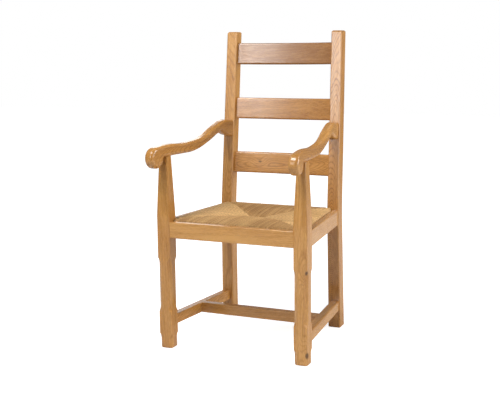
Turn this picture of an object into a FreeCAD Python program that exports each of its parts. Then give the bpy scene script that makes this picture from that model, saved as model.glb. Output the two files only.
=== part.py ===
import FreeCAD, Part
import math
import os

os.makedirs("parts", exist_ok=True)
V = FreeCAD.Vector

# Ladder-back armchair in oak with a drop-in rush seat.
# Lengths are in millimetres. X points to the right as seen from the front, Y to the back, Z up.
# Pieces are laid out square: from the front feet, the middle of the width and the front posts' faces.
# The rear posts are a little shorter, so the chair leans back on its feet. save() tilts each piece so,
# and moves it so that the origin lies on the floor under the middle of the chair.
# A piece whose name ends in _right has a twin on the left, which save() mirrors.

# Size of the chair
overall_height = 1112
seat_height = 457.5
front_width = 560
back_width = 478
seat_depth = 482.5
lean_back_degrees = 0.85

# Rear posts, bent at the seat, nearer together and narrower at the top than at the floor
rear_post_width = 47.5
rear_post_top_width = 39.5
rear_post_depth = 48
back_rake = 58
foot_splay = 11
post_lean = 16
bend_radius = 700
rear_post_arris = 3
rear_top_bevel = 4.5
rear_foot_bevel = 2

# Front posts, square up to the seat, then narrower on all four sides up to the arm
front_post_size = 49.5
front_post_height = 686
front_post_arris = 3
waist_start = 478
post_top_size = 31.5
post_top_setback = 11
waist_swell = 0.2
waist_sections = 4
foot_rounding = 8

# Stopped chamfers on the front posts
chamfer_leg = 12
chamfer_run_out = 24
foot_chamfer_end = 57
low_chamfer_start = 130
low_chamfer_end = 331

# Seat rails
rail_height = 56.5
rail_thickness = 22
rail_inset = 2
rear_rail_inset = 9.5
rail_arris = 3

# Back slats
slat_height = 80
slat_thickness = 20
slat_bow = 14
slat_inset = 18.5
slat_arris = 4
slat_second_bevel = 1.5
slat_count = 3
top_slat_drop = 43
low_slat_rise = 119.5

# Stretchers near the floor
stretcher_middle = 92.5
side_stretcher_height = 37
side_stretcher_width = 30
side_stretcher_inset = 3
cross_stretcher_height = 38
cross_stretcher_width = 26
cross_stretcher_front = 236
stretcher_rounding = 7
stretcher_arris = 2

# Arms
scroll_radius = 36
scroll_reach = 44
throat_radius = 5
arm_rise = 63
arm_width = 34
arm_rear_inset = 1
arm_front_inset = 3
arm_bevel = 6.5
arm_end_overlap = 9

# Joints
joint_clearance = 0.2
tenon_length = 20
tenon_root = 6
rail_tenon_thickness = 9
rail_tenon_height = 42
rear_rail_tenon_length = 16
slat_tenon_height = 52
slat_tenon_thickness = 9
slat_tenon_length = 16
stretcher_tenon_height = 22
stretcher_tenon_thickness = 11
cross_tenon_length = 14
arm_tenon_height = 36
arm_tenon_width = 13
arm_tenon_drop = 34
post_tenon_size = 18

# Drop-in seat
seat_gap = 2.5
seat_proud = 3.5
seat_dish = 9
seam_half_length = 26
rush_thickness = 5
field_groove_width = 5
field_groove_depth = 2
seat_bar_width = 34
seat_bar_thickness = 17
seat_tenon_length = 12
seat_tenon_width = 7
seat_tenon_thickness = 7

# Corner blocks and screws
block_leg = 84
block_tip = 14
block_height = 26
screw_radius = 2
screw_head_radius = 4
screw_head_height = 2.6
screw_tip_length = 4
screw_tip_radius = 0.8
screw_sides = 8
screw_clearance = 0.15
rail_screw_length = 32
rail_screw_grip = 16
rail_screw_reach = 60
seat_screw_length = 42
seat_screw_edge = 9
seat_screw_depth = 30

# How far a cutting block runs past what it cuts
overrun = 20
# Smallest difference in height that counts as a rise, and smallest bend that counts as a curve
level_tolerance = 1
bend_tolerance = 0.001

# Places worked out from the sizes
rear_front_y = seat_depth - rear_post_depth
front_half = front_width / 2
back_half = back_width / 2
front_inner_x = front_half - front_post_size
rear_post_narrowing = (rear_post_width - rear_post_top_width) / overall_height
rear_inner_x = back_half - rear_post_width + seat_height * rear_post_narrowing
front_post_x = front_half - front_post_size / 2
rail_bottom = seat_height - rail_height
rail_middle = seat_height - rail_height / 2
lean_slope = post_lean / overall_height
rake_slope = back_rake / (overall_height - seat_height)
splay_slope = foot_splay / seat_height
chair_back = seat_depth + back_rake
top_slat_middle = overall_height - top_slat_drop - slat_height / 2
low_slat_middle = seat_height + low_slat_rise + slat_height / 2
floor_slope = math.tan(math.radians(lean_back_degrees))
pieces = {}


def back_x(z, inset):
    """X of the right rear post's outer side at a height z, moved in by an inset."""
    return back_half - (z - seat_height) * lean_slope - inset


def inner_x(z):
    """X of the right rear post's inner side at a height z."""
    return back_x(z, rear_post_width - z * rear_post_narrowing)


def side_x(y, inset, z=seat_height):
    """X of the chair's right side at a depth y and a height z, moved in by an inset."""
    share = (y - front_post_size) / (rear_front_y - front_post_size)
    return front_half - (front_half - back_x(z, 0)) * share - inset


def post_front(z):
    """Y of the front face of a rear post at a height z."""
    if z < seat_height:
        return rear_front_y + (seat_height - z) * splay_slope
    return rear_front_y + (z - seat_height) * rake_slope


# Shapes that several pieces use

def flat(points):
    """A flat face with straight sides."""
    return Part.Face(Part.makePolygon(points + [points[0]]))


def face_inside(edges):
    """A flat face inside a closed run of edges."""
    return Part.Face(Part.Wire(Part.__sortEdges__(edges)))


def line(a, b):
    return Part.LineSegment(a, b).toShape()


def arc(a, middle, b):
    return Part.Arc(a, middle, b).toShape()


def box(low, high):
    """A box from its lowest to its highest corner."""
    size = high - low
    return Part.makeBox(size.x, size.y, size.z, low)


def upright(plan, low, high):
    """A block with the outline seen from above, from a height low to a height high."""
    return flat([V(x, y, low) for x, y in plan]).extrude(V(0, 0, high - low))


def mirrored(shape):
    """The same shape on the other side of the chair."""
    return shape.mirror(V(0, 0, 0), V(1, 0, 0))


def rounded(shape, radius, wanted):
    """The shape with the wanted edges rounded."""
    return shape.makeFillet(radius, [edge for edge in shape.Edges if wanted(edge)])


def bevelled(shape, leg, wanted):
    """The shape with the wanted edges bevelled."""
    return shape.makeChamfer(leg, [edge for edge in shape.Edges if wanted(edge)])


def ends(edge):
    """Where an edge starts and ends."""
    return edge.Vertexes[0].Point, edge.Vertexes[-1].Point


def rises(edge):
    """True for an edge that runs up or down."""
    a, b = ends(edge)
    return abs(a.z - b.z) > level_tolerance


def level_at(height):
    """A test for edges that lie at one height."""
    def lies_there(edge):
        a, b = ends(edge)
        return abs(a.z - height) < level_tolerance and abs(b.z - height) < level_tolerance
    return lies_there


def on_floor(edge):
    """True for an edge that lies on the floor, which rises to the back in this layout."""
    a, b = ends(edge)
    return abs(a.z - a.y * floor_slope) < level_tolerance and abs(b.z - b.y * floor_slope) < level_tolerance


def longer_than(length):
    """A test for edges longer than a length."""
    return lambda edge: edge.Length > length


def bent_edge(foot, corner, top):
    """Two straight lines with a tangent arc in place of the corner between them."""
    down = (foot - corner).normalize()
    up = (top - corner).normalize()
    half_angle = down.getAngle(up) / 2
    reach = bend_radius / math.tan(half_angle)
    start = corner + down * reach
    finish = corner + up * reach
    depth = bend_radius / math.sin(half_angle) - bend_radius
    middle = corner + (down + up).normalize() * depth
    return [line(foot, start), arc(start, middle, finish), line(finish, top)]


def arc_from(start, direction, finish):
    """An arc that leaves its start in a given direction, or a line if it hardly bends."""
    chord = finish - start
    chord_direction = chord * (1 / chord.Length)
    along = direction.dot(chord_direction)
    aside = direction - chord_direction * along
    if aside.Length < bend_tolerance:
        return line(start, finish)
    middle = start + chord * 0.5 + aside * (chord.Length / (2 + 2 * along))
    return arc(start, middle, finish)


def smooth_run(points, first_direction, last_direction):
    """A smooth run of arcs through the points, two for each step, with a given direction at each end."""
    steps = [b - a for a, b in zip(points, points[1:])]
    directions = [V(first_direction).normalize()]
    for before, after in zip(steps, steps[1:]):
        turn = before * (after.Length / before.Length) + after * (before.Length / after.Length)
        directions.append(turn.normalize())
    directions.append(V(last_direction).normalize())
    edges = []
    for a, b, leaving, arriving in zip(points, points[1:], directions, directions[1:]):
        step = b - a
        ahead = step.dot(leaving + arriving)
        bend = 1 - leaving.dot(arriving)
        reach = step.dot(step) / (ahead + math.sqrt(ahead ** 2 + 2 * bend * step.dot(step)))
        joint = (a + b + (leaving - arriving) * reach) * 0.5
        edges += [arc_from(a, leaving, joint), arc_from(b, -arriving, joint)]
    return edges


# Rear posts

def rear_post_blank():
    """The right post, bent at the seat and leaning in to the middle, square edged."""
    low_x = back_x(overall_height, rear_post_width) - overrun
    high_x = back_x(0, 0) + overrun

    def edge_points(offset):
        foot_y = rear_front_y + foot_splay + offset
        foot = V(low_x, foot_y, foot_y * floor_slope)
        corner = V(low_x, rear_front_y + offset, seat_height)
        top = V(low_x, rear_front_y + back_rake + offset, overall_height)
        return foot, corner, top

    front = edge_points(0)
    back = edge_points(rear_post_depth)
    edges = bent_edge(*front) + bent_edge(*back)
    edges += [line(front[0], back[0]), line(front[-1], back[-1])]
    side_view = face_inside(edges).extrude(V(high_x - low_x, 0, 0))
    front_view = flat([
        V(inner_x(0), 0, 0), V(back_x(0, 0), 0, 0),
        V(back_x(overall_height, 0), 0, overall_height), V(inner_x(overall_height), 0, overall_height),
    ])
    return side_view.common(front_view.extrude(V(0, chair_back + overrun, 0)))


def soft_rear_post(blank):
    """The post with its arrises, top and foot bevelled."""
    post = bevelled(blank, rear_post_arris, rises)
    post = bevelled(post, rear_top_bevel, level_at(overall_height))
    return bevelled(post, rear_foot_bevel, on_floor)


# Front posts

def post_outline(z, size, front, inset):
    """The right front post's outline at a height, with bevelled corners, moved in by an inset."""
    half = size / 2 - inset
    short = half - front_post_arris
    hub_y = front + size / 2
    corners = [
        (-half, -short), (-short, -half), (short, -half), (half, -short),
        (half, short), (short, half), (-short, half), (-half, short),
    ]
    points = [V(front_post_x + x, hub_y + y, z) for x, y in corners]
    return Part.makePolygon(points + [points[0]])


def front_post_blank():
    """The right post: a rounded foot, a square part and a part that narrows to the arm."""
    half_round = foot_rounding * (1 - math.sqrt(0.5))
    foot = [
        post_outline(0, front_post_size, 0, foot_rounding),
        post_outline(half_round, front_post_size, 0, half_round),
        post_outline(foot_rounding, front_post_size, 0, 0),
    ]
    square = Part.Face(foot[-1]).extrude(V(0, 0, waist_start - foot_rounding))
    waist = []
    for step in range(waist_sections + 1):
        share = step / waist_sections
        narrow = share - waist_swell * share * (1 - share)
        size = front_post_size - (front_post_size - post_top_size) * narrow
        z = waist_start + (front_post_height - waist_start) * share
        waist.append(post_outline(z, size, post_top_setback * narrow, 0))
    solid, ruled = True, True
    return Part.makeLoft(foot, solid, ruled).fuse([square, Part.makeLoft(waist, solid)])


def stopped_chamfer(corner, inward, low, high):
    """What a cutter takes off one corner of a post between two heights, with curved run-outs."""
    across = V(-inward.y, inward.x, 0)
    depth = chamfer_leg / math.sqrt(2)
    radius = (chamfer_run_out ** 2 + depth ** 2) / (2 * depth)
    half_turn = math.asin(chamfer_run_out / radius) / 2

    def place(inset, z):
        return corner + inward * inset - across * front_post_size + V(0, 0, z)

    def run_out(hub_z, side):
        inset = depth - radius + radius * math.cos(half_turn)
        return place(inset, hub_z + side * radius * math.sin(half_turn))

    low_hub = low + chamfer_run_out
    high_hub = high - chamfer_run_out
    edges = [
        line(place(-overrun, low), place(0, low)),
        arc(place(0, low), run_out(low_hub, -1), place(depth, low_hub)),
        line(place(depth, low_hub), place(depth, high_hub)),
        arc(place(depth, high_hub), run_out(high_hub, 1), place(0, high)),
        line(place(0, high), place(-overrun, high)),
        line(place(-overrun, high), place(-overrun, low)),
    ]
    return face_inside(edges).extrude(across * (2 * front_post_size))


def chamfered_front_post(blank):
    """The post with its stopped chamfers."""
    post = blank
    for x, into_x in ((front_inner_x, 1), (front_half, -1)):
        for y, into_y in ((0, 1), (front_post_size, -1)):
            corner = V(x, y, 0)
            inward = V(into_x, into_y, 0).normalize()
            post = post.cut(stopped_chamfer(corner, inward, -overrun, foot_chamfer_end))
            post = post.cut(stopped_chamfer(corner, inward, low_chamfer_start, low_chamfer_end))
    return post


# Arms

arm_front_x = front_post_x - arm_front_inset
arm_front_y = front_post_size / 2
arm_waist_z = front_post_height + scroll_radius
arm_crest_z = arm_waist_z + arm_rise
arm_rear_x = (back_x(arm_crest_z, 0) + inner_x(arm_crest_z)) / 2 - arm_rear_inset
arm_rear_y = post_front(arm_crest_z)
arm_turn = math.atan2(arm_front_x - arm_rear_x, arm_rear_y - arm_front_y)
arm_length = arm_rear_y + scroll_reach

# Points of the arm's outline. The first number is a share of its length, from the scroll's centre.
# The second is a share of its rise: above the waist for the top, above the front post for the underside.
arm_top_shares = [(0.09, 0.052), (0.4, 0.011), (0.579, 0.157), (0.78, 0.74), (0.877, 0.959), (1.0, 0.917)]
arm_under_shares = [(0.478, 0.041), (0.685, 0.475), (0.796, 0.808), (0.841, 0.895), (0.876, 0.748), (1.0, 0.463)]
flat_under_share = 0.28
heel_slope_share = 0.33


def arm_outline():
    """The arm seen from the side: a round scroll, a low front part and a raised rear end."""
    def at(along, up, base):
        return V(0, along * arm_length - scroll_reach, base + up * arm_rise)

    hub = V(0, -scroll_reach, front_post_height)
    radius = scroll_radius
    throat_reach = math.sqrt(radius ** 2 + 2 * radius * throat_radius)
    throat_hub = hub + V(0, throat_reach, -throat_radius)
    toward_hub = (hub - throat_hub).normalize()
    scroll_end = throat_hub + toward_hub * throat_radius
    throat_middle = throat_hub + (toward_hub + V(0, 0, 1)).normalize() * throat_radius
    throat_end = throat_hub + V(0, 0, throat_radius)
    scroll_top = hub + V(0, 0, radius)
    scroll_front = hub + V(0, -1, -1).normalize() * radius
    top_points = [scroll_top] + [at(along, up, arm_waist_z) for along, up in arm_top_shares]
    flat_end = at(flat_under_share, 0, front_post_height)
    under_points = [flat_end] + [at(along, up, front_post_height) for along, up in arm_under_shares]
    past_post = V(0, arm_end_overlap, 0)
    level = V(0, 1, 0)
    top_end = top_points[-1] + past_post
    under_end = under_points[-1] + past_post
    edges = [
        arc(scroll_top, scroll_front, scroll_end),
        arc(scroll_end, throat_middle, throat_end),
        line(throat_end, flat_end),
        line(under_points[-1], under_end),
        line(under_end, top_end),
        line(top_end, top_points[-1]),
    ]
    edges += smooth_run(top_points, level, level)
    edges += smooth_run(under_points, level, V(0, 1, -heel_slope_share))
    return face_inside(edges)


def arm_blank():
    """The right arm before its joints, its long edges bevelled."""
    profile = arm_outline()
    profile.translate(V(-arm_width / 2, 0, 0))
    arm = profile.extrude(V(arm_width, 0, 0))
    back = arm_rear_y + arm_end_overlap

    def along_arm(edge):
        a, b = ends(edge)
        at_end = min(a.y, b.y) > back - level_tolerance
        return not at_end and abs(a.x - b.x) < bend_tolerance

    arm = bevelled(arm, arm_bevel, along_arm)
    arm.rotate(V(0, arm_front_y, 0), V(0, 0, 1), math.degrees(arm_turn))
    arm.translate(V(arm_front_x, 0, 0))
    return arm


# Back slats

def slat(middle_z, post):
    """A bowed slat between the rear posts, made upright and then leant back with them."""
    half = inner_x(middle_z)
    wide = half + overrun
    bow_radius = (half ** 2 + slat_bow ** 2) / (2 * slat_bow)
    wide_bow = bow_radius - math.sqrt(bow_radius ** 2 - wide ** 2)
    low = middle_z - slat_height / 2
    front = post_front(middle_z) + slat_inset + slat_bow
    back = front + slat_thickness
    edges = [
        arc(V(-wide, front - wide_bow, low), V(0, front, low), V(wide, front - wide_bow, low)),
        arc(V(-wide, back - wide_bow, low), V(0, back, low), V(wide, back - wide_bow, low)),
        line(V(wide, front - wide_bow, low), V(wide, back - wide_bow, low)),
        line(V(-wide, front - wide_bow, low), V(-wide, back - wide_bow, low)),
    ]
    bar = bevelled(face_inside(edges).extrude(V(0, 0, slat_height)), slat_arris, longer_than(half))
    bar = bevelled(bar, slat_second_bevel, longer_than(half))
    bar.rotate(V(0, front, middle_z), V(1, 0, 0), -math.degrees(math.atan(rake_slope)))
    return bar.cut(post).cut(mirrored(post))


# Seat rails and stretchers

rail_inner_inset = rail_inset + rail_thickness
rail_inner_y = rail_inset + rail_thickness
rear_rail_y = rear_front_y + rear_rail_inset


def cross_rail(half_length, front):
    """A seat rail across the chair."""
    low = V(-half_length, front, rail_bottom)
    high = V(half_length, front + rail_thickness, seat_height)
    return rounded(box(low, high), rail_arris, longer_than(half_length))


def side_bar(outer, inner, front, back, low, high):
    """A bar along the chair's right side, between two insets from that side."""
    middle = (low + high) / 2
    plan = [
        (side_x(front, outer, middle), front), (side_x(back, outer, middle), back),
        (side_x(back, inner, middle), back), (side_x(front, inner, middle), front),
    ]
    return upright(plan, low, high)


def side_rail(rear_post):
    """The right seat rail, from the front post to the face of the rear post."""
    back = rear_front_y + overrun
    rail = side_bar(rail_inset, rail_inner_inset, front_post_size, back, rail_bottom, seat_height)
    return rounded(rail, rail_arris, longer_than(rear_inner_x)).cut(rear_post)


def side_stretcher(rear_post):
    """The right stretcher, well rounded on its outer upper edge."""
    low = stretcher_middle - side_stretcher_height / 2
    high = stretcher_middle + side_stretcher_height / 2
    inner = side_stretcher_inset + side_stretcher_width
    middle = side_stretcher_inset + side_stretcher_width / 2
    back = rear_front_y + foot_splay + overrun
    bar = side_bar(side_stretcher_inset, inner, front_post_size, back, low, high)
    is_long = longer_than(rear_inner_x)

    def is_outer_top(edge):
        a, b = ends(edge)
        return is_long(edge) and level_at(high)(edge) and a.x > side_x(a.y, middle, stretcher_middle)

    bar = rounded(bar, stretcher_arris, lambda edge: is_long(edge) and not is_outer_top(edge))
    return rounded(bar, stretcher_rounding, is_outer_top).cut(rear_post)


def cross_stretcher():
    """The stretcher between the inner faces of the two side stretchers."""
    inner = side_stretcher_inset + side_stretcher_width
    front = cross_stretcher_front
    back = front + cross_stretcher_width
    low = stretcher_middle - cross_stretcher_height / 2
    near_x = side_x(front, inner, stretcher_middle)
    far_x = side_x(back, inner, stretcher_middle)
    plan = [(-near_x, front), (near_x, front), (far_x, back), (-far_x, back)]
    bar = upright(plan, low, low + cross_stretcher_height)
    return rounded(bar, stretcher_arris, longer_than(far_x))


# Drop-in seat

seat_top = seat_height + seat_proud
seat_bar_top = seat_top - rush_thickness
seat_bar_low = seat_bar_top - seat_bar_thickness
rush_low = seat_bar_low - rush_thickness
stuffing_top = seat_bar_top - seat_dish
seat_front_y = rail_inner_y + seat_gap
seat_shoulder_y = front_post_size + seat_gap
seat_heel_y = rear_front_y - seat_gap
seat_back_y = rear_rail_y - seat_gap
seat_side_inset = rail_inner_inset + seat_gap
seat_middle_y = (seat_front_y + seat_back_y) / 2


def both_sides(half_plan):
    """A whole outline from its right half, listed from the front."""
    return half_plan + [(-x, y) for x, y in reversed(half_plan)]


def seat_plan(inset):
    """The seat seen from above, notched round the four posts, moved in by an inset."""
    side = seat_side_inset + inset
    shoulder_y = seat_shoulder_y + inset
    heel_y = seat_heel_y - inset
    return both_sides([
        (front_inner_x - seat_gap - inset, seat_front_y + inset),
        (front_inner_x - seat_gap - inset, shoulder_y),
        (side_x(shoulder_y, side), shoulder_y),
        (side_x(heel_y, side), heel_y),
        (rear_inner_x - seat_gap - inset, heel_y),
        (rear_inner_x - seat_gap - inset, seat_back_y - inset),
    ])


def seat_bars():
    """The frame that the rush is wound on: two side bars, with the front and rear bars between them."""
    inset = rush_thickness
    outline = upright(seat_plan(inset), seat_bar_low, seat_bar_top)
    outer = seat_side_inset + inset
    front = seat_shoulder_y + inset
    back = seat_heel_y - inset
    side = side_bar(outer, outer + seat_bar_width, front, back, seat_bar_low, seat_bar_top)
    front_end = seat_front_y + inset
    back_end = seat_back_y - inset
    wide = front_half
    front_band = box(V(-wide, front_end, seat_bar_low), V(wide, front_end + seat_bar_width, seat_bar_top))
    back_band = box(V(-wide, back_end - seat_bar_width, seat_bar_low), V(wide, back_end, seat_bar_top))
    sides = side.fuse(mirrored(side))
    return side, outline.common(front_band).cut(sides), outline.common(back_band).cut(sides)


def seat_corner(front_or_back_y):
    """Where the side of the seat would meet its front or back edge if it had no notch."""
    return V(side_x(front_or_back_y, seat_side_inset), front_or_back_y, seat_top)


seat_corners = [seat_corner(seat_front_y), seat_corner(seat_back_y)]
seam_end = V(seam_half_length, seat_middle_y, seat_top - seat_dish)


def rush_envelope():
    """The woven rush as a solid: flat below, its four fields falling to a seam in the middle."""
    down = V(0, 0, rush_low - seat_top)
    front_right, back_right = seat_corners
    front_left, back_left, left_seam_end = [V(-p.x, p.y, p.z) for p in seat_corners + [seam_end]]
    rim = [front_left, front_right, back_right, back_left]
    faces = [flat([p + down for p in rim])]
    faces += [flat([a, b, b + down, a + down]) for a, b in zip(rim, rim[1:] + rim[:1])]
    faces += [
        flat([front_left, front_right, seam_end, left_seam_end]),
        flat([back_right, back_left, left_seam_end, seam_end]),
        flat([front_right, back_right, seam_end]),
        flat([back_left, front_left, left_seam_end]),
    ]
    fields = Part.Solid(Part.Shell(faces))
    return upright(seat_plan(0), rush_low, seat_top).common(fields)


def field_groove(start, finish):
    """What is cut from the rush along the line where two of its fields meet."""
    along = (finish - start).normalize()
    across = V(-along.y, along.x, 0) * (field_groove_width / 2)
    lift = V(0, 0, field_groove_depth)
    return flat([start - lift, start + across + lift, start - across + lift]).extrude(finish - start)


# Corner blocks, below the seat

block_high = rush_low
block_low = block_high - block_height
block_middle = (block_low + block_high) / 2


def corner_block(corner_y, into_y, post):
    """The right block in the corner between a cross rail and the side rail, cut round the post."""
    far_y = corner_y + into_y * block_leg
    corner_x = side_x(corner_y, rail_inner_inset)
    plan = [
        (corner_x, corner_y),
        (side_x(far_y, rail_inner_inset), far_y),
        (side_x(far_y, rail_inner_inset) - block_tip, far_y),
        (corner_x - block_leg, corner_y + into_y * block_tip),
        (corner_x - block_leg, corner_y),
    ]
    return upright(plan, block_low, block_high).cut(post)


# Screws

def screw_ring(radius, z):
    """One of a screw's outlines. It has eight sides, which keeps the many small screws light."""
    turns = [2 * math.pi * side / screw_sides for side in range(screw_sides + 1)]
    return Part.makePolygon([V(radius * math.cos(turn), radius * math.sin(turn), z) for turn in turns])


def screw(length, clearance, pocket):
    """A countersunk wood screw along +Z, head down at the origin. With a clearance it is its hole."""
    head = screw_head_radius + clearance
    shank = screw_radius + clearance
    rings = [screw_ring(head, -pocket)] if pocket else []
    rings += [
        screw_ring(head, 0), screw_ring(shank, screw_head_height),
        screw_ring(shank, length - screw_tip_length), screw_ring(screw_tip_radius, length + clearance),
    ]
    solid, ruled = True, True
    return Part.makeLoft(rings, solid, ruled)


def placed(shape, position, direction):
    """A shape made along +Z, set at a position along a direction."""
    shape.Placement = FreeCAD.Placement(position, FreeCAD.Rotation(V(0, 0, 1), direction))
    return shape


def screw_places(corner_y, into_y):
    """Where the three screws of a right corner block start, which way they point and their lengths."""
    corner_x = side_x(corner_y, rail_inner_inset)
    side_y = corner_y + into_y * rail_screw_reach
    to_cross = V(corner_x - rail_screw_reach, corner_y + into_y * rail_screw_grip, block_middle)
    to_side = V(side_x(side_y, rail_inner_inset) - rail_screw_grip, side_y, block_middle)
    seat_y = corner_y + into_y * seat_screw_depth
    bar_inner = seat_side_inset + rush_thickness + seat_bar_width
    to_seat = V(side_x(seat_y, bar_inner) - seat_screw_edge, seat_y, block_low)
    return [
        ("rail", to_cross, V(0, -into_y, 0), rail_screw_length),
        ("rail", to_side, V(1, 0, 0), rail_screw_length),
        ("seat", to_seat, V(0, 0, 1), seat_screw_length),
    ]


# Assembly

def add(name, low, high):
    """A tenon on a piece. A piece in the middle of the chair gets one at its left end too."""
    tenon = box(low, high)
    pieces[name] = pieces[name].fuse(tenon)
    if not name.endswith("_right"):
        pieces[name] = pieces[name].fuse(mirrored(tenon))


def join(tenoned, mortised, low, high):
    """A tenon on one piece and its mortise in another, with a clearance all round."""
    add(tenoned, low, high)
    step = V(joint_clearance, joint_clearance, joint_clearance)
    pieces[mortised] = pieces[mortised].cut(box(low - step, high + step))


def join_across(tenoned, mortised, face_x, middle_y, middle_z, size):
    """A tenon along X from a piece between the sides into a piece on the right."""
    length, thickness, height = size
    low = V(face_x - tenon_root, middle_y - thickness / 2, middle_z - height / 2)
    high = V(face_x + length, middle_y + thickness / 2, middle_z + height / 2)
    join(tenoned, mortised, low, high)


def join_along(tenoned, mortised, middle_x, face_y, middle_z, size):
    """A tenon along Y from a face of a piece on the right, forwards if its length is negative."""
    length, thickness, height = size
    root = math.copysign(tenon_root, length)
    near = min(face_y - root, face_y + length)
    far = max(face_y - root, face_y + length)
    low = V(middle_x - thickness / 2, near, middle_z - height / 2)
    high = V(middle_x + thickness / 2, far, middle_z + height / 2)
    join(tenoned, mortised, low, high)


def build_frame():
    """Posts, rails, slats, stretchers and arms, with their mortise and tenon joints."""
    rear_blank = rear_post_blank()
    front_blank = front_post_blank()
    pieces["rear_post_right"] = soft_rear_post(rear_blank)
    pieces["front_post_right"] = chamfered_front_post(front_blank)
    pieces["arm_right"] = arm_blank().cut(rear_blank)
    pieces["seat_rail_front"] = cross_rail(front_inner_x, rail_inset)
    rear_rail = cross_rail(rear_inner_x + overrun, rear_rail_y)
    pieces["seat_rail_rear"] = rear_rail.cut(rear_blank).cut(mirrored(rear_blank))
    pieces["seat_rail_right"] = side_rail(rear_blank)
    pieces["stretcher_right"] = side_stretcher(rear_blank)
    pieces["stretcher_cross"] = cross_stretcher()

    rail_tenon = (tenon_length, rail_tenon_thickness, rail_tenon_height)
    back_tenon = (-tenon_length, rail_tenon_thickness, rail_tenon_height)
    rear_rail_tenon = (rear_rail_tenon_length, rail_tenon_thickness, rail_tenon_height)
    front_y = rail_inset + rail_thickness / 2
    rear_y = rear_rail_y + rail_thickness / 2
    side_middle = rail_inset + rail_thickness / 2
    join_across("seat_rail_front", "front_post_right", front_inner_x, front_y, rail_middle, rail_tenon)
    join_across("seat_rail_rear", "rear_post_right", rear_inner_x, rear_y, rail_middle, rear_rail_tenon)
    x = side_x(front_post_size, side_middle)
    join_along("seat_rail_right", "front_post_right", x, front_post_size, rail_middle, back_tenon)
    x = side_x(rear_front_y, side_middle)
    join_along("seat_rail_right", "rear_post_right", x, rear_front_y, rail_middle, rail_tenon)

    stretcher_tenon = (tenon_length, stretcher_tenon_thickness, stretcher_tenon_height)
    back_tenon = (-tenon_length, stretcher_tenon_thickness, stretcher_tenon_height)
    cross_tenon = (cross_tenon_length, stretcher_tenon_thickness, stretcher_tenon_height)
    side_middle = side_stretcher_inset + side_stretcher_width / 2
    rear_y = post_front(stretcher_middle)
    x = side_x(front_post_size, side_middle, stretcher_middle)
    join_along("stretcher_right", "front_post_right", x, front_post_size, stretcher_middle, back_tenon)
    x = side_x(rear_y, side_middle, stretcher_middle)
    join_along("stretcher_right", "rear_post_right", x, rear_y, stretcher_middle, stretcher_tenon)
    cross_y = cross_stretcher_front + cross_stretcher_width / 2
    x = side_x(cross_y, side_stretcher_inset + side_stretcher_width, stretcher_middle)
    join_across("stretcher_cross", "stretcher_right", x, cross_y, stretcher_middle, cross_tenon)

    slat_tenon = (slat_tenon_length, slat_tenon_thickness, slat_tenon_height)
    for step, place in enumerate(("top", "middle", "bottom")):
        middle_z = top_slat_middle - (top_slat_middle - low_slat_middle) * step / (slat_count - 1)
        name = "back_slat_" + place
        pieces[name] = slat(middle_z, rear_blank)
        y = post_front(middle_z) + slat_inset + slat_thickness / 2
        join_across(name, "rear_post_right", inner_x(middle_z), y, middle_z, slat_tenon)

    arm_tenon = (tenon_length, arm_tenon_width, arm_tenon_height)
    middle_z = arm_crest_z - arm_tenon_drop
    join_along("arm_right", "rear_post_right", arm_rear_x, post_front(middle_z), middle_z, arm_tenon)
    half = post_tenon_size / 2
    y = post_top_setback + post_top_size / 2
    low = V(front_post_x - half, y - half, front_post_height - tenon_root)
    high = V(front_post_x + half, y + half, front_post_height + tenon_length)
    join("front_post_right", "arm_right", low, high)
    return front_blank, rear_blank


def build_seat():
    """The drop-in seat: the frame of four bars, the stuffing between them and the rush round both."""
    side, front, rear = seat_bars()
    bars = side.fuse([mirrored(side), front, rear])
    stuffing = upright(seat_plan(rush_thickness), seat_bar_low, stuffing_top).cut(bars)
    rush = rush_envelope().cut(bars).cut(stuffing)
    for corner in seat_corners:
        groove = field_groove(corner, seam_end)
        rush = rush.cut([groove, mirrored(groove)])
    rush = rush.cut(field_groove(V(-seam_end.x, seam_end.y, seam_end.z), seam_end))
    pieces["rush_seat"] = rush
    pieces["rush_stuffing"] = stuffing
    pieces["seat_frame_right"] = side
    pieces["seat_frame_front"] = front
    pieces["seat_frame_rear"] = rear

    bar_middle = (seat_bar_low + seat_bar_top) / 2
    bar_inner = seat_side_inset + rush_thickness + seat_bar_width
    front_y = seat_shoulder_y + rush_thickness
    rear_y = seat_heel_y - rush_thickness
    front_x = (front_inner_x - seat_gap - rush_thickness + side_x(front_y, bar_inner)) / 2
    rear_x = (rear_inner_x - seat_gap - rush_thickness + side_x(rear_y, bar_inner)) / 2
    to_front = (-seat_tenon_length, seat_tenon_width, seat_tenon_thickness)
    to_rear = (seat_tenon_length, seat_tenon_width, seat_tenon_thickness)
    join_along("seat_frame_right", "seat_frame_front", front_x, front_y, bar_middle, to_front)
    join_along("seat_frame_right", "seat_frame_rear", rear_x, rear_y, bar_middle, to_rear)


def bore(name, hole):
    """Cut a hole in a piece, and its twin too in a piece in the middle of the chair."""
    pieces[name] = pieces[name].cut(hole)
    if not name.endswith("_right"):
        pieces[name] = pieces[name].cut(mirrored(hole))


def build_blocks(front_blank, rear_blank):
    """The four blocks that the seat rests on, and the screws through them."""
    screws = {"rail": [], "seat": []}
    corners = [
        ("front", rail_inner_y, 1, front_blank),
        ("rear", rear_rail_y, -1, rear_blank),
    ]
    for end, corner_y, into_y, post in corners:
        name = "corner_block_" + end + "_right"
        pieces[name] = corner_block(corner_y, into_y, post)
        for held_by, position, direction, length in screw_places(corner_y, into_y):
            hole = placed(screw(length, screw_clearance, block_leg), position, direction)
            screws[held_by].append(placed(screw(length, 0, 0), position, direction))
            bore(name, hole)
            if held_by == "seat":
                bore("rush_seat", hole)
                bore("seat_frame_" + end, hole)
            elif direction.x > 0:
                bore("seat_rail_right", hole)
            else:
                bore("seat_rail_" + end, hole)
    for name, group in (("corner_block_screws", screws["rail"]), ("seat_screws", screws["seat"])):
        pieces[name] = Part.makeCompound(group + [mirrored(one) for one in group])


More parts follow.
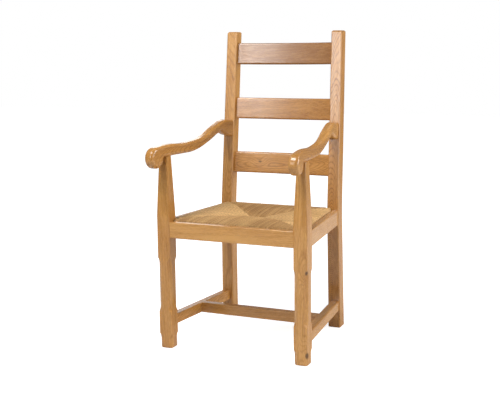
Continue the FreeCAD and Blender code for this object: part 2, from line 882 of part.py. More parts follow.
def stand_on_floor():
    """Tilt every piece as the chair stands, with the front feet cut level and the origin in the middle."""
    for name, shape in pieces.items():
        shape = shape.copy()
        shape.rotate(V(0, 0, 0), V(1, 0, 0), -lean_back_degrees)
        if name == "front_post_right":
            wide = front_width
            shape = shape.cut(box(V(-wide, -wide, -wide), V(wide, wide, 0)))
        pieces[name] = shape
    extent = Part.makeCompound(list(pieces.values())).optimalBoundingBox()
    for shape in pieces.values():
        shape.translate(V(0, -(extent.YMin + extent.YMax) / 2, 0))
    print("moved forward by", (extent.YMin + extent.YMax) / 2)


def save():
    """Write each piece, and the mirrored twin of each right piece."""
    for name, shape in pieces.items():
        twins = {name: shape}
        if name.endswith("_right"):
            twins[name.replace("_right", "_left")] = mirrored(shape)
        for twin, solid in twins.items():
            solid.exportStep("parts/" + twin + ".step")
            print(twin, len(solid.Solids), solid.isValid(), round(solid.Volume))


front_blank, rear_blank = build_frame()
build_seat()
build_blocks(front_blank, rear_blank)
stand_on_floor()
save()
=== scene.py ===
"""Looks of the ladder-back oak armchair with a woven rush seat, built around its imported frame."""
import math
import random

import bpy
from mathutils import Matrix, Vector


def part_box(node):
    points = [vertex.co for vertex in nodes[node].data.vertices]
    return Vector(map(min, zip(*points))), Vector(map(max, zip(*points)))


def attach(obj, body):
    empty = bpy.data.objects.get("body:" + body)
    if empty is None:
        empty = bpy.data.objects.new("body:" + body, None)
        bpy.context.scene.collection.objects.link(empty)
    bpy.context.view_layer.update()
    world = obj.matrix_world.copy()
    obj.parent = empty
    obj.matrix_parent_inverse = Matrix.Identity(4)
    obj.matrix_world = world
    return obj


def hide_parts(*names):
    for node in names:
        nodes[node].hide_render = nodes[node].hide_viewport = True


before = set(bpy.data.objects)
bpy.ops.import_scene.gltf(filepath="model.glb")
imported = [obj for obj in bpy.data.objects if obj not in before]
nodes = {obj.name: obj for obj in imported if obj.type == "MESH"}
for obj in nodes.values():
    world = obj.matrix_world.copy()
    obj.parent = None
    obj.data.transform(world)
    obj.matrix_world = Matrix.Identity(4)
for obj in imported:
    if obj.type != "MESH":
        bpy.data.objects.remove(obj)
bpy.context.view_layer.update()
scene = bpy.context.scene
MM = 0.001


# Objects and meshes

def add_object(name, data):
    """A new object in the scene."""
    thing = bpy.data.objects.new(name, data)
    scene.collection.objects.link(thing)
    return thing


def copy_piece(node, name):
    """A copy of a CAD node's mesh as a new object. The node itself stays as it is."""
    mesh = nodes[node].data.copy()
    mesh.name = name
    return add_object(name, mesh)


def add_remesh(thing, voxel):
    """Make an object's surface again in even steps."""
    remesh = thing.modifiers.new("remesh", "REMESH")
    remesh.mode = "VOXEL"
    remesh.voxel_size = voxel


def add_smooth(thing, rounds, group=""):
    """Smooth an object, or only a group of its points."""
    smooth = thing.modifiers.new("smooth", "SMOOTH")
    smooth.factor = 0.5
    smooth.iterations = rounds
    smooth.vertex_group = group


def bake(thing):
    """Turn an object's modifiers into its mesh, and return that mesh."""
    ready = thing.evaluated_get(bpy.context.evaluated_depsgraph_get())
    mesh = bpy.data.meshes.new_from_object(ready)
    thing.modifiers.clear()
    thing.data = mesh
    return mesh


def coat(mesh, node):
    """Shade a mesh smoothly and give it the material of a CAD node."""
    mesh.polygons.foreach_set("use_smooth", [True] * len(mesh.polygons))
    mesh.materials.clear()
    mesh.materials.append(nodes[node].material_slots[0].material)


def dress(name, material):
    """Give a CAD node its material."""
    for slot in nodes[name].material_slots:
        slot.material = material


# Shader trees

class Tree:
    """A node tree that is filled from code."""

    def __init__(self, tree):
        self.tree = tree
        tree.nodes.clear()

    def add(self, kind, inputs=None, **settings):
        """A new node. An input is a value or the output socket that it takes its value from."""
        node = self.tree.nodes.new("ShaderNode" + kind)
        for name, value in settings.items():
            setattr(node, name, value)
        for name, value in (inputs or {}).items():
            self.give(node.inputs[name], value)
        return node

    def give(self, socket, value):
        """Link a socket to an output, or set it to a constant."""
        if isinstance(value, bpy.types.NodeSocket):
            self.tree.links.new(value, socket)
        else:
            socket.default_value = value

    def math(self, operation, *values, clamp=False):
        """The result of a sum."""
        return self.add("Math", dict(enumerate(values)), operation=operation, use_clamp=clamp).outputs[0]

    def vector(self, operation, *values):
        """The result of a sum of vectors."""
        node = self.add("VectorMath", dict(enumerate(values)), operation=operation)
        return node.outputs["Value" if operation == "LENGTH" else "Vector"]

    def span(self, value, low, high, to_low=0.0, to_high=1.0):
        """A value taken smoothly from one range to another."""
        inputs = {"Value": value, "From Min": low, "From Max": high, "To Min": to_low, "To Max": to_high}
        return self.add("MapRange", inputs, interpolation_type="SMOOTHSTEP").outputs["Result"]

    def noise(self, place, scale, detail, roughness=0.5, output="Fac"):
        """A noise value, or a noise colour, at a place."""
        inputs = {"Vector": place, "Scale": scale, "Detail": detail, "Roughness": roughness}
        return self.add("TexNoise", inputs).outputs[output]

    def place(self):
        """The place on the object, in metres."""
        return self.add("TexCoord").outputs["Object"]

    def turned(self, place, angles):
        """A place turned about the origin."""
        return self.add("Mapping", {"Vector": place, "Rotation": angles}, vector_type="POINT").outputs[0]

    def stack(self, total, value, low, high, share):
        """A total with a share of a value added, once the value is spread over its range."""
        return self.math("ADD", total, self.math("MULTIPLY", self.span(value, low, high), share))

    def bump(self, height, strength, distance, normal=None):
        """A normal that is raised by a height."""
        inputs = {"Height": height, "Strength": strength, "Distance": distance}
        if normal is not None:
            inputs["Normal"] = normal
        return self.add("Bump", inputs).outputs[0]

    def mix(self, share, first, second):
        """Two colours mixed."""
        node = self.add("Mix", data_type="RGBA", blend_type="MIX")
        sockets = {socket.identifier: socket for socket in node.inputs}
        self.give(sockets["Factor_Float"], share)
        self.give(sockets["A_Color"], first)
        self.give(sockets["B_Color"], second)
        return next(socket for socket in node.outputs if socket.identifier == "Result_Color")

    def finish(self, surface, kind="OutputMaterial"):
        """Send a surface to the tree's output."""
        self.add(kind, {"Surface": surface.outputs[0]})


def new_material(name):
    """A material with an empty tree."""
    material = bpy.data.materials.new(name)
    material.use_nodes = True
    return material, Tree(material.node_tree)


SRGB_KNEE = 0.04045
SRGB_SLOPE = 12.92
SRGB_OFFSET = 0.055
SRGB_POWER = 2.4


def linear(red, green, blue):
    """A colour given in the usual 0 to 255 steps, as the shaders take it."""
    def one(value):
        share = value / 255
        if share <= SRGB_KNEE:
            return share / SRGB_SLOPE
        return ((share + SRGB_OFFSET) / (1 + SRGB_OFFSET)) ** SRGB_POWER
    return one(red), one(green), one(blue), 1.0


# Camera, surround, floor and lamps

CAMERA_PLACE = Vector((1.3517, -3.08334, 1.10635))
CAMERA_RIGHT = Vector((0.91389, 0.40563, -0.01612))
CAMERA_UP = Vector((-0.05623, 0.16579, 0.98456))
CAMERA_BACK = Vector((0.40203, -0.89888, 0.17432))
PICTURE_WIDTH = 500
FOCAL_LENGTH_PIXELS = 953.06
SENSOR_WIDTH = 36.0
VIEW_END = 60

WHITE = (1, 1, 1, 1)
AMBIENT_LEVEL = 0.05
GLOSS_LEVEL = 0.22
FLOOR_HALF = 9.0
FLOOR_DROP = 0.0005
FLOOR_PAINT = (0.8, 0.8, 0.8, 1)
FLOOR_LIFT = 0.8
FLOOR_GLOSS = 0.05
FLOOR_FADE_START = 1.2
FLOOR_FADE_END = 4.0

# Each lamp's place, the place that it faces, its width and height, and its power.
LAMPS = {
    "front_softbox": ((-1.02, -3.9, 1.82), (0, 0.1, 0.75), (0.95, 1.28), 26),
    "front_glint": ((-1.02, -3.92, 1.82), (0, 0.1, 0.75), (0.95, 1.28), 16),
    "left_glint": ((-2.05, -3.75, 1.82), (0, 0.1, 0.75), (0.8, 1.28), 4.5),
    "key_softbox": ((-0.45, -1.9, 3.6), (0, 0, 0.5), (1.6, 1.2), 112),
    "right_low_softbox": ((3.6, -0.6, 1.2), (0, 0, 0.6), (1.6, 1.6), 30),
    "right_rear_softbox": ((3.3, 1.7, 1.6), (0, 0, 0.6), (1.6, 2.0), 90),
    "left_rear_softbox": ((-2.6, 3.2, 2.2), (0, 0, 0.6), (1.8, 1.8), 26),
}
GLINTS = ("front_glint", "left_glint")
RIGHT_LOW_SHINE = 0.5


def make_camera():
    """The camera at the photograph's viewing angle."""
    data = bpy.data.cameras.new("camera")
    data.sensor_width = SENSOR_WIDTH
    data.lens = FOCAL_LENGTH_PIXELS / PICTURE_WIDTH * SENSOR_WIDTH
    data.clip_end = VIEW_END
    matrix = Matrix.Identity(4)
    for column, axis in enumerate((CAMERA_RIGHT, CAMERA_UP, CAMERA_BACK, CAMERA_PLACE)):
        for row in range(3):
            matrix[row][column] = axis[row]
    camera = add_object("camera", data)
    camera.matrix_world = matrix
    scene.camera = camera


def make_world():
    """An even pale surround that shows white to the camera and is dimmer in gloss."""
    world = bpy.data.worlds.new("surround")
    world.use_nodes = True
    scene.world = world
    t = Tree(world.node_tree)
    ray = t.add("LightPath").outputs
    seen = t.math("MAXIMUM", ray["Is Camera Ray"], ray["Is Transmission Ray"])
    level = t.math("ADD", seen, t.math("MULTIPLY", ray["Is Glossy Ray"], GLOSS_LEVEL))
    level = t.math("MAXIMUM", level, AMBIENT_LEVEL)
    t.finish(t.add("Background", {"Color": WHITE, "Strength": level}), "OutputWorld")


def make_floor():
    """A plain white floor that keeps the chair's shadow and runs into the white surround far off."""
    mesh = bpy.data.meshes.new("floor")
    signs = ((-1, -1), (1, -1), (1, 1), (-1, 1))
    corners = [(x * FLOOR_HALF, y * FLOOR_HALF, 0) for x, y in signs]
    mesh.from_pydata(corners, [], [(0, 1, 2, 3)])
    floor = add_object("floor", mesh)
    floor.location.z = -FLOOR_DROP
    material, t = new_material("floor")
    ray = t.add("LightPath").outputs
    paint = t.add("BsdfDiffuse", {"Color": FLOOR_PAINT})
    lift = t.span(t.vector("LENGTH", t.place()), FLOOR_FADE_START, FLOOR_FADE_END, FLOOR_LIFT, 1.0)
    seen = t.math("MULTIPLY", ray["Is Camera Ray"], lift)
    seen = t.math("ADD", seen, t.math("MULTIPLY", ray["Is Glossy Ray"], FLOOR_GLOSS))
    glow = t.add("Emission", {"Color": WHITE, "Strength": seen})
    t.finish(t.add("AddShader", {0: paint.outputs[0], 1: glow.outputs[0]}))
    mesh.materials.append(material)


def add_lamp(name, place, target, size, power):
    """A soft white rectangular lamp that faces a target."""
    data = bpy.data.lights.new(name, "AREA")
    data.shape = "RECTANGLE"
    data.size, data.size_y = size
    data.energy = power
    lamp = add_object(name, data)
    lamp.location = place
    lamp.rotation_euler = (Vector(target) - Vector(place)).to_track_quat("-Z", "Y").to_euler()
    return lamp


def make_lamps():
    """Every lamp. The glints show only as reflections."""
    lamps = {name: add_lamp(name, *settings) for name, settings in LAMPS.items()}
    for name in GLINTS:
        lamps[name].visible_diffuse = False
    lamps["right_low_softbox"].data.specular_factor = RIGHT_LOW_SHINE


make_camera()
make_world()
make_floor()
make_lamps()


# Wood

OAK_PORE = linear(110, 68, 29)
# The dark colour of the spots: real knots, and painted shade at the chamfer stops of the right front post.
KNOT_AND_SHADE_COLOUR = linear(66, 38, 18)

# Each wood's pale, middle and deep colour, and the colour of its pores.
OAK = (linear(211, 157, 88), linear(190, 134, 67), linear(156, 102, 46), OAK_PORE)
OAK_BROWN = (linear(196, 143, 82), linear(174, 122, 66), linear(144, 96, 48), OAK_PORE)
DEAL = (linear(224, 192, 140), linear(212, 176, 120), linear(188, 146, 92), linear(150, 108, 62))

# How finely a figure repeats across the grain and along it, per metre, then its noise's detail and roughness.
WANDER = (9.0, 1.3, 2.0, 0.45)
BROAD_BANDS = (30.0, 3.5, 2.0, 0.5)
STREAKS = (210.0, 8.0, 3.0, 0.6)
FLECKS = (420.0, 70.0, 2.0, 0.6)
FIBRES = (600.0, 9.0, 1.0, 0.5)
PORES = (1500.0, 55.0, 2.0, 0.6)

WANDER_SIZE = 0.05
NOISE_MIDDLE = (0.5, 0.5, 0.5)
SHIFT_RANGE = 5
YEAR_STEP = 0.31
EARLY_END_SHARE = 0.35
LATE_START_SHARE = 0.8
FAINT_YEAR_SHARE = 0.35

# How the spots are shaped and painted dark. The spots are real knots and spots of painted shade.
SPOT_STRETCH_SHARE = 0.55
SPOT_REACH_SHARE = 5
SPOT_PUSH_SHARE = 1.6
SPOT_CORE_SHARE = 0.35
SPOT_DARK_SHARE = 0.8

BROAD_SHARE = 0.3
STREAK_SHARE = 0.34
FLECK_SHARE = 0.22
PORE_DARK_SHARE = 0.55
MIDDLE_TONE = 0.62

GRAIN_GLOSS_SPREAD = 0.06
PORE_ROUGHNESS = 0.22
WOOD_SPECULAR = 0.66
RING_HEIGHT = -0.3
PORE_RELIEF = 0.0003
PORE_RELIEF_STRENGTH = 0.2
FIBRE_RELIEF = 0.00014
ARM_RELIEF = 0.00007
HIDDEN_GLOSS = 0.6

GRAIN_TURN = {"x": (0, -math.pi / 2, 0), "y": (math.pi / 2, 0, 0), "z": (0, 0, 0)}
OAK_SEED = 11
HIDDEN_SEED = 41

OAK_PIECES = {
    "rear_post_right": dict(along="z", heart=(0.002, 0.05), tilt=(0.16, 0.004), tone=0.62, figure=0.62,
                            ring_width=1.3),
    "rear_post_left": dict(along="z", heart=(0.02, 0.05), tilt=(0.03, 0.01), tone=0.38),
    # The two dark spots on the right front post are painted shade where its chamfers stop, drawn like small
    # knots.
    "front_post_right": dict(along="z", heart=(0.012, 0.05), tilt=(0.05, 0.02), tone=0.46,
                             knots_and_shade_spots=(((0.2768, -0.2343, 0.3193), 0.007), ((0.2766, -0.2345, 0.0366), 0.009))),
    "front_post_left": dict(along="z", heart=(0.09, 0.03), tilt=(0.008, 0.01), tone=0.56),
    "arm_right": dict(along="y", heart=(0.10, 0.03), tilt=(0.02, 0.01), tone=0.54, relief=ARM_RELIEF),
    "arm_left": dict(along="y", heart=(0.09, 0.04), tilt=(0.01, 0.02), tone=0.58, relief=ARM_RELIEF),
    "back_slat_top": dict(along="x", heart=(0.16, 0.03), tilt=(0.01, 0.01), tone=0.98, colours=OAK_BROWN),
    "back_slat_middle": dict(along="x", heart=(0.13, 0.02), tilt=(0.01, 0.02), tone=0.72),
    "back_slat_bottom": dict(along="x", heart=(0.01, 0.035), tilt=(0.05, 0.01), tone=0.46, figure=0.7,
                             knots_and_shade_spots=(((-0.0914, 0.243, 0.6138), 0.0055),)),
    "seat_rail_front": dict(along="x", heart=(0.11, 0.02), tilt=(0.01, 0.01), tone=0.38),
    "seat_rail_rear": dict(along="x", heart=(0.1, 0.03), tilt=(0.02, 0.01), tone=0.5),
    "seat_rail_right": dict(along="y", heart=(0.08, 0.06), tilt=(0.01, 0.02), tone=0.38, figure=0.3),
    "seat_rail_left": dict(along="y", heart=(0.06, 0.08), tilt=(0.01, 0.01), tone=0.5),
    "stretcher_cross": dict(along="x", heart=(0.09, 0.04), tilt=(0.01, 0.02), tone=0.48),
    "stretcher_right": dict(along="y", heart=(0.07, 0.05), tilt=(0.02, 0.01), tone=0.45),
    "stretcher_left": dict(along="y", heart=(0.1, 0.02), tilt=(0.01, 0.01), tone=0.55),
}
HIDDEN_PIECES = {
    "seat_frame_front": "x", "seat_frame_rear": "x", "seat_frame_left": "y", "seat_frame_right": "y",
    "corner_block_front_left": "x", "corner_block_front_right": "x",
    "corner_block_rear_left": "x", "corner_block_rear_right": "x",
}


def grain_noise(t, place, shift, figure, output="Fac"):
    """Noise that is drawn out along the grain, which runs along Z here."""
    across, along, detail, roughness = figure
    place = t.vector("MULTIPLY", t.vector("ADD", place, shift), (across, across, along))
    return t.noise(place, 1.0, detail, roughness, output)


def bend_round_spots(t, radius, knots_and_shade_spots, along):
    """The distance from the heart line with the rings pushed out by each spot, and where the spots are. The
    spots are real knots and spots of painted shade, which the caller paints dark.
    """
    stretch = tuple(SPOT_STRETCH_SHARE if axis == along else 1 for axis in "xyz")
    dark = 0.0
    for number, (where, size) in enumerate(knots_and_shade_spots):
        away = t.vector("SUBTRACT", t.place(), where)
        away = t.vector("LENGTH", t.vector("MULTIPLY", away, stretch))
        push = t.span(away, 0.0, size * SPOT_REACH_SHARE, size * SPOT_PUSH_SHARE, 0.0)
        radius = t.math("ADD", radius, push)
        spot = t.span(away, size * SPOT_CORE_SHARE, size, 1.0, 0.0)
        dark = t.math("MAXIMUM", dark, spot) if number else spot
    return radius, dark


def year_bands(t, radius, ring_width):
    """Growth rings, dark where a year begins and ends, and stronger in some years than in others."""
    ring = t.math("MULTIPLY", radius, 1 / (ring_width * MM))
    share = t.math("FRACT", ring)
    early = t.span(share, 0.0, EARLY_END_SHARE, 1.0, 0.0)
    late = t.span(share, LATE_START_SHARE, 1.0, 0.0, 1.0)
    band = t.math("ADD", early, late, clamp=True)
    count = t.add("CombineXYZ", {"X": t.math("MULTIPLY", ring, YEAR_STEP)}).outputs[0]
    year = t.span(t.noise(count, 1.0, 1.0), 0.3, 0.7, FAINT_YEAR_SHARE, 1.0)
    return t.math("MULTIPLY", band, year)


def wood(name, along, seed, heart=(0.02, 0.09), tilt=(0.02, 0.01), tone=0.5, colours=OAK, gloss=0.18,
         ring_width=3.1, figure=0.46, knots_and_shade_spots=(), relief=FIBRE_RELIEF):
    """Planed wood as a solid: growth rings round a heart line, streaks, flecks, pores and a satin finish.

    along is the direction of the grain, heart the way from the piece's middle to the middle of the
    tree, tilt how far the grain leans from the piece, tone from pale at 0 to deep at 1, and figure how
    strongly the rings show. A spot is its place and radius in metres; the rings bend round it and it is
    painted dark. Some spots are real knots and some are painted shade.
    """
    pale, mid, deep, pore = colours
    material, t = new_material(name)
    draw = random.Random(seed)
    low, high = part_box(name)
    place = t.vector("SUBTRACT", t.place(), tuple((low + high) / 2))
    lean = t.turned(t.turned(place, GRAIN_TURN[along]), (tilt[0], tilt[1], 0.0))
    shift = tuple(draw.uniform(-SHIFT_RANGE, SHIFT_RANGE) for _ in range(3))
    wave = t.vector("SUBTRACT", grain_noise(t, lean, shift, WANDER, "Color"), NOISE_MIDDLE)
    bent = t.vector("ADD", lean, t.vector("MULTIPLY", wave, (WANDER_SIZE, WANDER_SIZE, 0.0)))
    out = t.vector("SUBTRACT", bent, (heart[0], heart[1], 0.0))
    radius = t.vector("LENGTH", t.vector("MULTIPLY", out, (1.0, 1.0, 0.0)))
    radius, spot_dark = bend_round_spots(t, radius, knots_and_shade_spots, along)
    band = year_bands(t, radius, ring_width)

    streak = grain_noise(t, bent, shift, STREAKS)
    broad = grain_noise(t, bent, shift, BROAD_BANDS)
    fleck = grain_noise(t, bent, shift, FLECKS)
    fine = grain_noise(t, bent, shift, PORES)
    fibre = grain_noise(t, bent, shift, FIBRES)
    pores = t.math("MULTIPLY", t.span(fine, 0.56, 0.68), t.math("ADD", t.math("MULTIPLY", band, 0.75), 0.25))

    depth = t.math("MULTIPLY", t.span(broad, 0.25, 0.75), BROAD_SHARE)
    depth = t.stack(depth, streak, 0.3, 0.7, STREAK_SHARE)
    depth = t.stack(depth, fleck, 0.35, 0.65, FLECK_SHARE)
    depth = t.math("ADD", depth, t.math("MULTIPLY", band, figure))
    depth = t.math("ADD", depth, tone - MIDDLE_TONE, clamp=True)
    colour = t.mix(t.span(depth, 0.0, 0.5), pale, mid)
    colour = t.mix(t.span(depth, 0.45, 1.0), colour, deep)
    colour = t.mix(t.math("MULTIPLY", pores, PORE_DARK_SHARE), colour, pore)
    # Paint the spots dark: real knots, and painted shade where the right front post's chamfers stop.
    if knots_and_shade_spots:
        colour = t.mix(t.math("MULTIPLY", spot_dark, SPOT_DARK_SHARE), colour, KNOT_AND_SHADE_COLOUR)

    sheen = t.span(streak, 0.2, 0.8, gloss, gloss + GRAIN_GLOSS_SPREAD)
    roughness = t.math("ADD", t.math("MULTIPLY", pores, PORE_ROUGHNESS), sheen)
    height = t.math("SUBTRACT", t.math("MULTIPLY", band, RING_HEIGHT), pores)
    bump = t.bump(height, PORE_RELIEF_STRENGTH, PORE_RELIEF)
    bump = t.bump(fibre, 1.0, relief, bump)
    surface = t.add("BsdfPrincipled", {"Base Color": colour, "Roughness": roughness, "Normal": bump})
    surface.inputs["Specular IOR Level"].default_value = WOOD_SPECULAR
    t.finish(surface)
    return material


for number, (name, looks) in enumerate(OAK_PIECES.items()):
    dress(name, wood(name, seed=OAK_SEED + number, **looks))
for number, (name, along) in enumerate(HIDDEN_PIECES.items()):
    dress(name, wood(name, along, seed=HIDDEN_SEED + number, colours=DEAL, gloss=HIDDEN_GLOSS))


# Screws and stuffing

STEEL = linear(176, 176, 172)
STRAW = linear(176, 146, 96)
SPECK_RELIEF = 0.0002


def plain(name, colour, roughness, metallic=0.0, grain=900.0, spread=0.12, bump=0.1):
    """A surface with a fine mottled grain, for steel and stuffing."""
    material, t = new_material(name)
    speck = t.noise(t.place(), grain, 3.0, 0.6)
    dark = tuple(c * (1 - spread) for c in colour[:3]) + (1.0,)
    light = tuple(min(1.0, c * (1 + spread)) for c in colour[:3]) + (1.0,)
    tint = t.mix(t.span(speck, 0.3, 0.7), dark, light)
    rough = t.span(speck, 0.3, 0.7, roughness * 0.85, roughness * 1.1)
    relief = t.bump(speck, bump, SPECK_RELIEF)
    surface = t.add("BsdfPrincipled", {"Base Color": tint, "Roughness": rough, "Normal": relief})
    surface.inputs["Metallic"].default_value = metallic
    t.finish(surface)
    return material


steel = plain("screw_steel", STEEL, 0.34, metallic=1.0)
dress("corner_block_screws", steel)
dress("seat_screws", steel)
dress("rush_stuffing", plain("stuffing", STRAW, 0.9, grain=350.0, spread=0.3, bump=0.8))


# Rounded arms

ARM_VOXEL = 1.4 * MM
ARM_FILL = 0.6 * MM
ARM_ROUNDS = 36
ARM_FADE = 20 * MM


def soften_arm(name):
    """An arm with its edges worn round, in place of the bevelled solid. It keeps its form at the posts."""
    arm = copy_piece(name, name + "_soft")
    add_remesh(arm, ARM_VOXEL)
    solid = bake(arm)
    joint_low, joint_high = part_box(name.replace("arm", "rear_post"))
    free = arm.vertex_groups.new(name="free")
    for vertex in solid.vertices:
        ahead = joint_low.y - vertex.co.y
        free.add([vertex.index], min(1.0, max(0.0, ahead / ARM_FADE)), "REPLACE")
    add_smooth(arm, ARM_ROUNDS, "free")
    fill = arm.modifiers.new("fill", "DISPLACE")
    fill.strength = ARM_FILL
    fill.mid_level = 0.0
    fill.vertex_group = "free"
    solid = bake(arm)
    low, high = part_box(name)
    for vertex in solid.vertices:
        vertex.co = Vector([min(high[k], max(low[k], vertex.co[k])) for k in range(3)])
    coat(solid, name)
    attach(arm, "root")
    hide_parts(name)


for arm_name in ("arm_left", "arm_right"):
    soften_arm(arm_name)


# Woven rush

# The seat's plan, in millimetres, in the layout that part.py draws: y from the front of the front posts.
LEAN_BACK = math.radians(0.85)
LAYOUT_SHIFT = 243.0671
SEAT_TOP = 461.0
SEAT_LOW = 434.0
SEAT_BULGE = 5.0
SEAT_DISH = 9.0
SEAT_RISE = 6.5
FRONT_Y, BACK_Y = 26.5, 441.5
SHOULDER_Y, HEEL_Y = 52.0, 432.0
FRONT_HALF, BACK_HALF = 228.0, 192.3
MIDDLE_Y = (FRONT_Y + BACK_Y) / 2
SEAM_HALF = 26.0
SIDE_AT_FRONT = 256.9
SIDE_AT_BACK = 212.7

# A cord's sizes, in millimetres, and how far it bends on its way over the edge bar.
CORD_PITCH = 5.8
CORD_ROOM = 2.6
CORD_RADIUS_SHARE = 0.47
CORD_THICKNESS_SHARES = (0.84, 1.08)
CORD_HALF_SHARE = 0.52
CORD_SIDES = 8
CORD_SAG = 0.5
CORD_SEED = 5
SEAM_DIVE = 9.0
SEAM_DIVE_SHARE = 0.3
SEAM_DEPTH = 5.0
SEAM_LIP_SHARE = 0.35
SEAM_LIP_DEPTH = 1.5
EDGE_REACH = 9.0
EDGE_HEIGHT = 7.0
EDGE_STEPS = 4
TOP_STEP = 28
UNDER_SHARE = 0.4
UNDER_RISES = (0.4, 0.8, 4.0)
UNDER_END_SHARE = 0.2
WOBBLE = 0.4
WOBBLE_TURN = 0.045
PHASE_RANGE = 6.28

# How light the cords are. The side fields catch more light, so their cords are painted lighter: a painted
# sheen.
CORD_TONES = (0.08, 0.6)
SIDE_PAINTED_SHEEN = 0.32
TWIST_LENGTH = 14 * MM
TWIST_SPREAD = 9.0
RUSH_RELIEF = 0.0006
RUSH_ROUGHNESS = 0.62
RUSH_SPECULAR = 0.35
RUSH_DARK = linear(150, 106, 58)
RUSH_LIGHT = linear(230, 190, 130)
# Painted shade in the grooves between the twist's ridges.
RUSH_GROOVE_SHADE = linear(128, 90, 50)


def to_frame(x, y, z):
    """A layout point in millimetres as a point of the row frame in metres."""
    c, s = math.cos(-LEAN_BACK), math.sin(-LEAN_BACK)
    return Vector((x, y * c - z * s - LAYOUT_SHIFT, y * s + z * c)) * MM


def side_edge(y):
    """How far the seat's side edge is from the middle."""
    share = (y - FRONT_Y) / (BACK_Y - FRONT_Y)
    return SIDE_AT_FRONT + (SIDE_AT_BACK - SIDE_AT_FRONT) * share


def seam_y(x, front):
    """Where the cord at x in the front or rear field meets the seam."""
    edge_y = FRONT_Y if front else BACK_Y
    corner = SIDE_AT_FRONT if front else SIDE_AT_BACK
    share = min(1.0, max(0.0, (corner - abs(x)) / (corner - SEAM_HALF)))
    return edge_y + (MIDDLE_Y - edge_y) * share


def seam_x(y):
    """Where the cord at y in a side field meets the seam."""
    edge_y = FRONT_Y if y < MIDDLE_Y else BACK_Y
    corner = SIDE_AT_FRONT if y < MIDDLE_Y else SIDE_AT_BACK
    share = (y - edge_y) / (MIDDLE_Y - edge_y)
    return corner + (SEAM_HALF - corner) * share


def field_height(share):
    """How high the rush stands above its rim, from the rim at 0 to the middle seam at 1."""
    return SEAT_BULGE * math.sin(math.pi * share) - SEAT_DISH * share * share


def edge_angles():
    """The angles of a quarter turn over the edge bar."""
    return [math.pi / 2 * step / EDGE_STEPS for step in range(EDGE_STEPS + 1)]


def cord_path(run, field_depth, draw):
    """A cord from its seam over the edge bar and back below, as distances from the seam and heights."""
    radius = CORD_PITCH * CORD_HALF_SHARE
    top = SEAT_TOP - radius
    low = SEAT_LOW + radius
    sag = draw.uniform(-CORD_SAG, CORD_SAG)
    dive = min(SEAM_DIVE, run * SEAM_DIVE_SHARE)
    bend = run - EDGE_REACH
    reach = EDGE_REACH - radius

    def over(distance):
        return top + field_height(min(1.0, (run - distance) / field_depth))

    lip = dive * SEAM_LIP_SHARE
    points = [(0.0, over(0.0) - SEAM_DEPTH), (lip, over(lip) - SEAM_LIP_DEPTH), (dive, over(dive))]
    flat = run - dive - EDGE_REACH
    steps = max(2, int(flat / TOP_STEP))
    for step in range(1, steps):
        at = dive + flat * step / steps
        points.append((at, over(at) + sag * math.sin(math.pi * step / steps)))
    lift = over(bend) - top
    for angle in edge_angles():
        height = top - EDGE_HEIGHT + (EDGE_HEIGHT + lift) * math.cos(angle)
        points.append((bend + reach * math.sin(angle), height))
    for angle in edge_angles():
        height = low + EDGE_HEIGHT - EDGE_HEIGHT * math.sin(angle)
        points.append((bend + reach * math.cos(angle), height))
    under = (dive + flat * UNDER_SHARE, dive, dive * UNDER_END_SHARE)
    return points + [(at, low + rise) for at, rise in zip(under, UNDER_RISES)]


def lifted(place):
    """A layout point of the rush, raised towards the back, where the seat is fuller on top."""
    back = (place.y - FRONT_Y) / (BACK_Y - FRONT_Y)
    upper = (place.z - SEAT_LOW) / (SEAT_TOP - SEAT_LOW)
    return place + Vector((0, 0, SEAT_RISE * back * max(0.0, upper)))


def add_cord(build, origin, outward, edge_run, field_depth, sheen, draw):
    """Add one cord's tube. origin is its seam point and outward the direction to the edge, in the plan."""
    vertices, faces, tones, marks = build
    radius = CORD_PITCH * CORD_RADIUS_SHARE * draw.uniform(*CORD_THICKNESS_SHARES)
    # sheen is painted sheen: it is added to the cord's tone, which makes its colour lighter.
    tone = min(1.0, draw.uniform(*CORD_TONES) + sheen)
    phase = draw.uniform(0, PHASE_RANGE)
    points = cord_path(edge_run, field_depth, draw)
    places = [lifted(Vector((origin[0] + outward[0] * p, origin[1] + outward[1] * p, h))) for p, h in points]
    aside = Vector((-outward[1], outward[0], 0.0))
    start = len(vertices)
    length = 0.0
    for index, place in enumerate(places):
        before = places[max(0, index - 1)]
        after = places[min(len(places) - 1, index + 1)]
        if index:
            length += (place - before).length
        lift = aside.cross((after - before).normalized())
        wobble = aside * (WOBBLE * math.sin(phase + length * WOBBLE_TURN))
        for side in range(CORD_SIDES):
            angle = 2 * math.pi * side / CORD_SIDES
            p = place + wobble + aside * (radius * math.cos(angle)) + lift * (radius * math.sin(angle))
            vertices.append(to_frame(p.x, p.y, p.z))
            marks.append((length * MM, side / CORD_SIDES))
            tones.append(tone)
    for ring in range(len(places) - 1):
        for side in range(CORD_SIDES):
            a = start + ring * CORD_SIDES + side
            b = start + ring * CORD_SIDES + (side + 1) % CORD_SIDES
            faces.append((a, b, b + CORD_SIDES, a + CORD_SIDES))
    last = start + (len(places) - 1) * CORD_SIDES
    faces.append(tuple(start + side for side in reversed(range(CORD_SIDES))))
    faces.append(tuple(last + side for side in range(CORD_SIDES)))


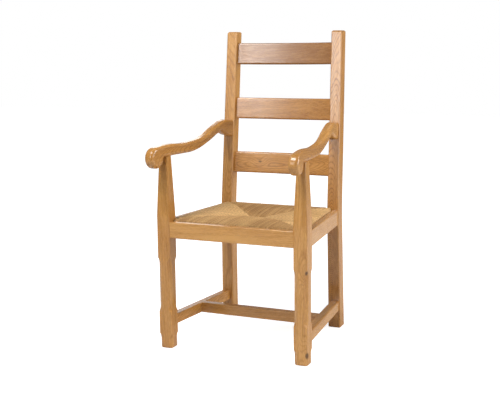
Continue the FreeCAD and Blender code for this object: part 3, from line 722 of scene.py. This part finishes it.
def rush_material():
    """Twisted straw-coloured rush, with painted shade in the grooves of the twist and, through each cord's
    tone, the painted sheen of the side fields.
    """
    material, t = new_material("rush")
    # Each cord's tone: its own random tone, with the painted sheen of the side fields added.
    tone = t.add("Attribute", attribute_name="tone").outputs["Fac"]
    turn = t.add("Attribute", attribute_name="turn").outputs["Vector"]
    parts = t.add("SeparateXYZ", {"Vector": turn}).outputs
    twist = t.math("ADD", t.math("MULTIPLY", parts["X"], 1 / TWIST_LENGTH), parts["Y"])
    twist = t.math("ADD", twist, t.math("MULTIPLY", tone, TWIST_SPREAD))
    ridge = t.span(t.math("SINE", t.math("MULTIPLY", twist, 2 * math.pi)), -1.0, -0.2)
    place = t.place()
    fine = t.noise(place, 420.0, 2.0, 0.6)
    patch = t.noise(place, 16.0, 3.0, 0.55)
    shade = t.stack(t.math("MULTIPLY", tone, 0.75), patch, 0.3, 0.7, 0.16)
    shade = t.math("ADD", shade, t.math("MULTIPLY", t.span(fine, 0.35, 0.65), 0.25), clamp=True)
    colour = t.mix(shade, RUSH_DARK, RUSH_LIGHT)
    # Painted shade: the colour is darkened in the grooves between the twist's ridges.
    colour = t.mix(t.math("MULTIPLY", t.math("SUBTRACT", 1.0, ridge), 0.35), colour, RUSH_GROOVE_SHADE)
    height = t.math("ADD", t.math("MULTIPLY", ridge, 0.8), t.math("MULTIPLY", fine, 0.35))
    surface = t.add("BsdfPrincipled", {"Base Color": colour, "Normal": t.bump(height, 0.5, RUSH_RELIEF)})
    surface.inputs["Roughness"].default_value = RUSH_ROUGHNESS
    surface.inputs["Specular IOR Level"].default_value = RUSH_SPECULAR
    t.finish(surface)
    return material


def lay_cords():
    """Every cord of the four fields: the front and the rear field, then the left and the right one."""
    draw = random.Random(CORD_SEED)
    build = ([], [], [], [])
    for front in (True, False):
        half = FRONT_HALF if front else BACK_HALF
        edge_y = FRONT_Y if front else BACK_Y
        depth = abs(MIDDLE_Y - edge_y)
        count = int(2 * half / CORD_PITCH)
        pitch = 2 * (half - CORD_ROOM) / (count - 1)
        for index in range(count):
            x = -half + CORD_ROOM + index * pitch
            y = seam_y(x, front)
            add_cord(build, (x, y), (0, -1 if front else 1), abs(y - edge_y), depth, 0.0, draw)
    count = int((HEEL_Y - SHOULDER_Y) / CORD_PITCH)
    pitch = (HEEL_Y - SHOULDER_Y - 2 * CORD_ROOM) / (count - 1)
    for side in (-1, 1):
        for index in range(count):
            y = SHOULDER_Y + CORD_ROOM + index * pitch
            run = side_edge(y) - seam_x(y)
            depth = side_edge(y) - SEAM_HALF
            add_cord(build, (side * seam_x(y), y), (side, 0), run, depth, SIDE_PAINTED_SHEEN, draw)
    return build


def make_rush():
    """The seat's cords as one woven piece."""
    vertices, faces, tones, marks = lay_cords()
    mesh = bpy.data.meshes.new("rush_weave")
    mesh.from_pydata(vertices, [], faces)
    tone = mesh.attributes.new("tone", "FLOAT", "POINT")
    tone.data.foreach_set("value", tones)
    turn = mesh.attributes.new("turn", "FLOAT_VECTOR", "POINT")
    turn.data.foreach_set("vector", [c for u, v in marks for c in (u, v, 0.0)])
    mesh.polygons.foreach_set("use_smooth", [len(p.vertices) == 4 for p in mesh.polygons])
    mesh.materials.append(rush_material())
    weave = add_object("rush_weave", mesh)
    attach(weave, "root")
    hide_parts("rush_seat")


FILLING_VOXEL = 4 * MM
FILLING_ROUNDS = 4


def make_filling():
    """The loose rush packed between the two faces of the seat."""
    filling = copy_piece("rush_stuffing", "rush_filling")
    add_remesh(filling, FILLING_VOXEL)
    add_smooth(filling, FILLING_ROUNDS)
    coat(bake(filling), "rush_stuffing")
    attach(filling, "root")
    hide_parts("rush_stuffing")


make_rush()
make_filling()

scene.view_settings.view_transform = "Standard"
